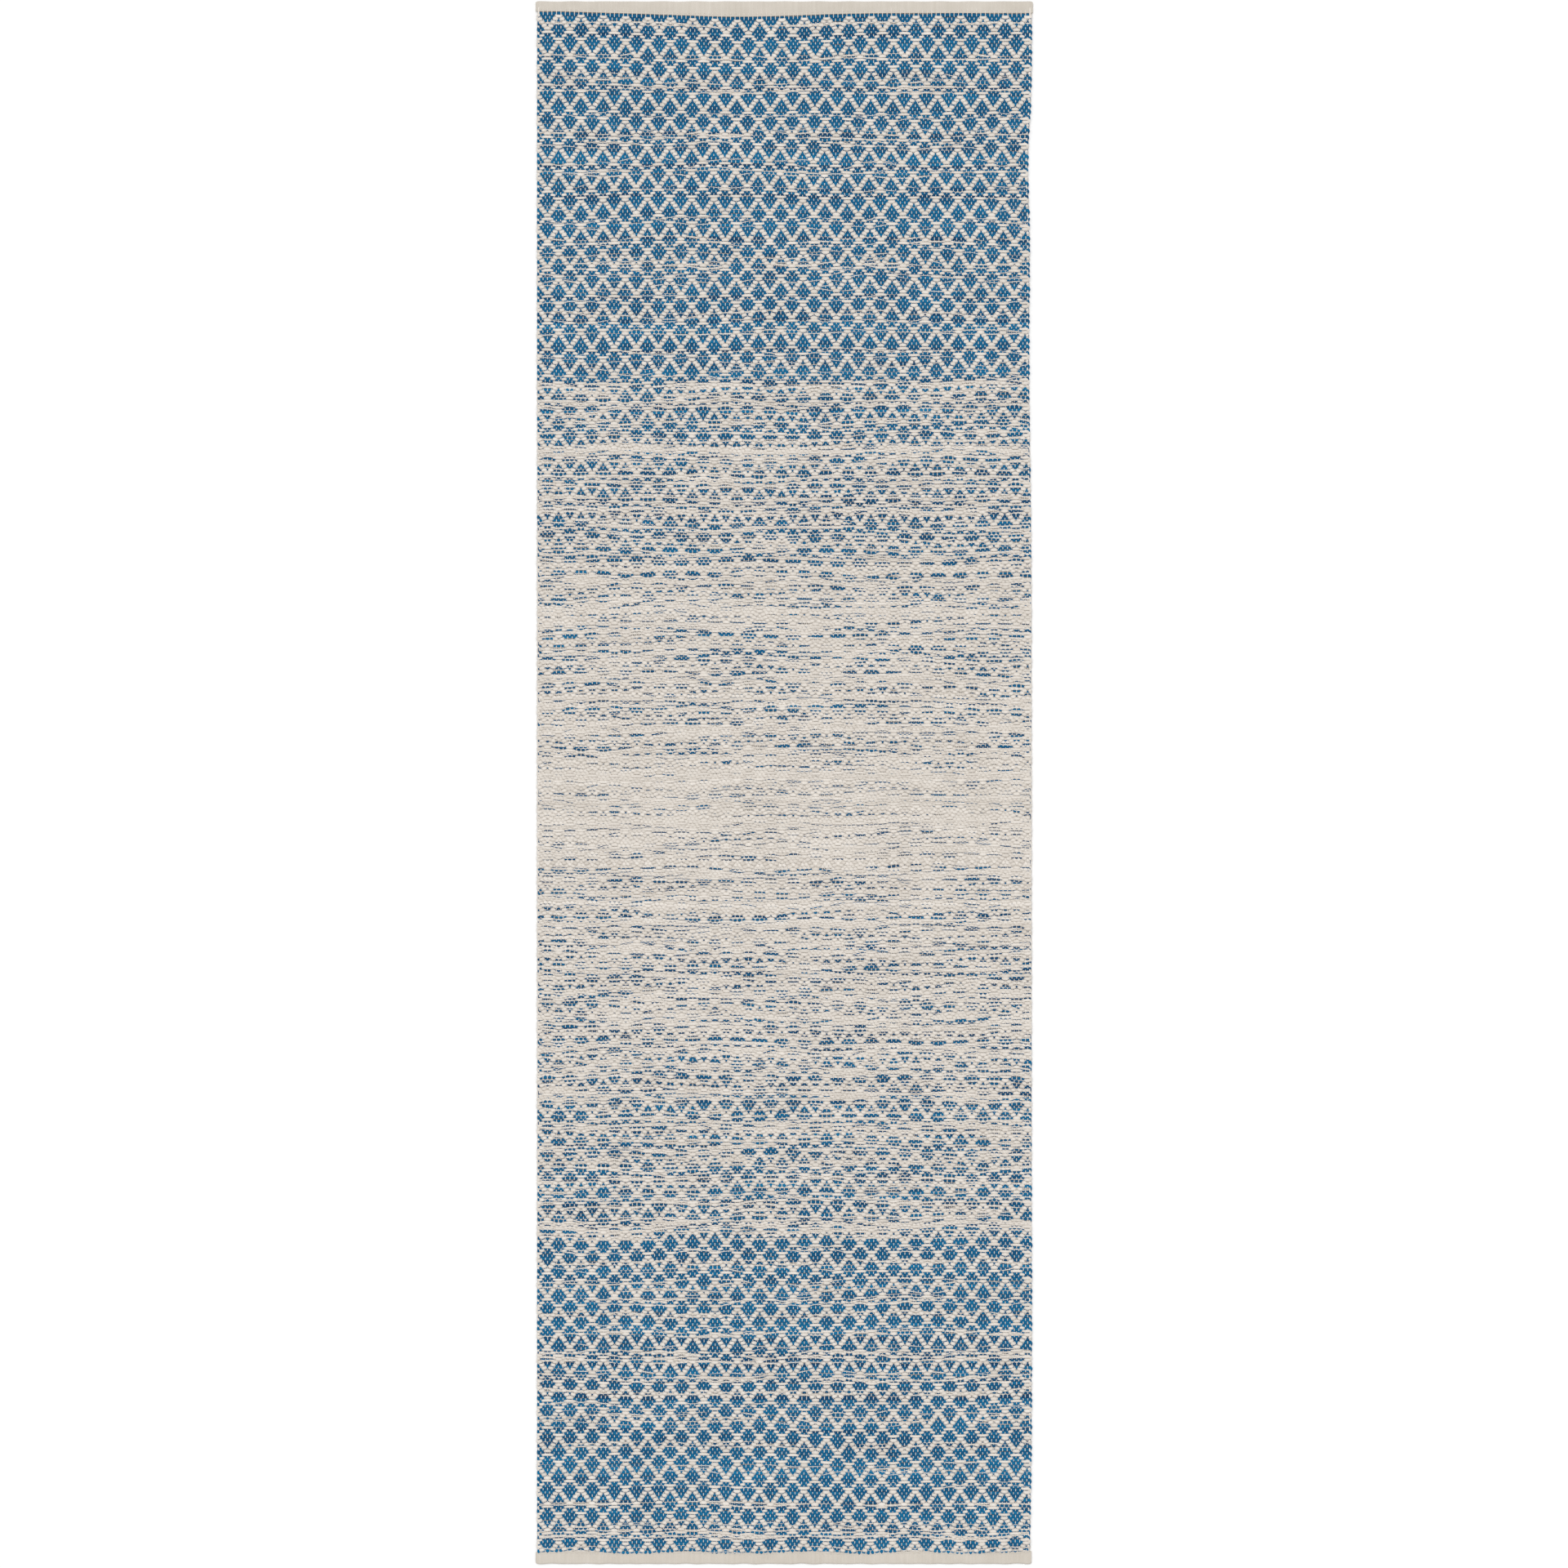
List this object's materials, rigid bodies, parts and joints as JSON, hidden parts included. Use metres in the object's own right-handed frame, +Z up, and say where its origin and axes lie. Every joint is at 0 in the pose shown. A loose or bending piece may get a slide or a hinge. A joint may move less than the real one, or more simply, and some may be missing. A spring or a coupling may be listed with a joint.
{
  "type": "runner rug",
  "caption": "Long, narrow flat-woven cotton runner rug with a small diamond weave that fades from blue ends to a cream middle, with plain hemmed ends.",
  "frame": {"origin": "on the floor under the middle of the rug", "axes": "+X across the width towards the selvedge with the blue floats, +Y along the length towards the head hem, +Z up"},
  "size_m": [0.679, 2.134, 0.006],
  "materials": {
    "pattern_yarn": "matte",
    "blue_yarn": "matte",
    "cream_yarn": "matte",
    "warp_cord": "matte",
    "hem_cloth": "matte",
    "sewing_thread": "matte"
  },
  "bodies": {
    "root": {"pattern_weft": "pattern_yarn", "ground_weft_blue": "blue_yarn", "ground_weft_cream": "cream_yarn", "warp_ends": "warp_cord", "selvedge_cord_left": "warp_cord", "selvedge_cord_right": "warp_cord", "head_hem": "hem_cloth", "foot_hem": "hem_cloth", "head_hem_stitches": "sewing_thread", "foot_hem_stitches": "sewing_thread"}
  },
  "joints": []
}
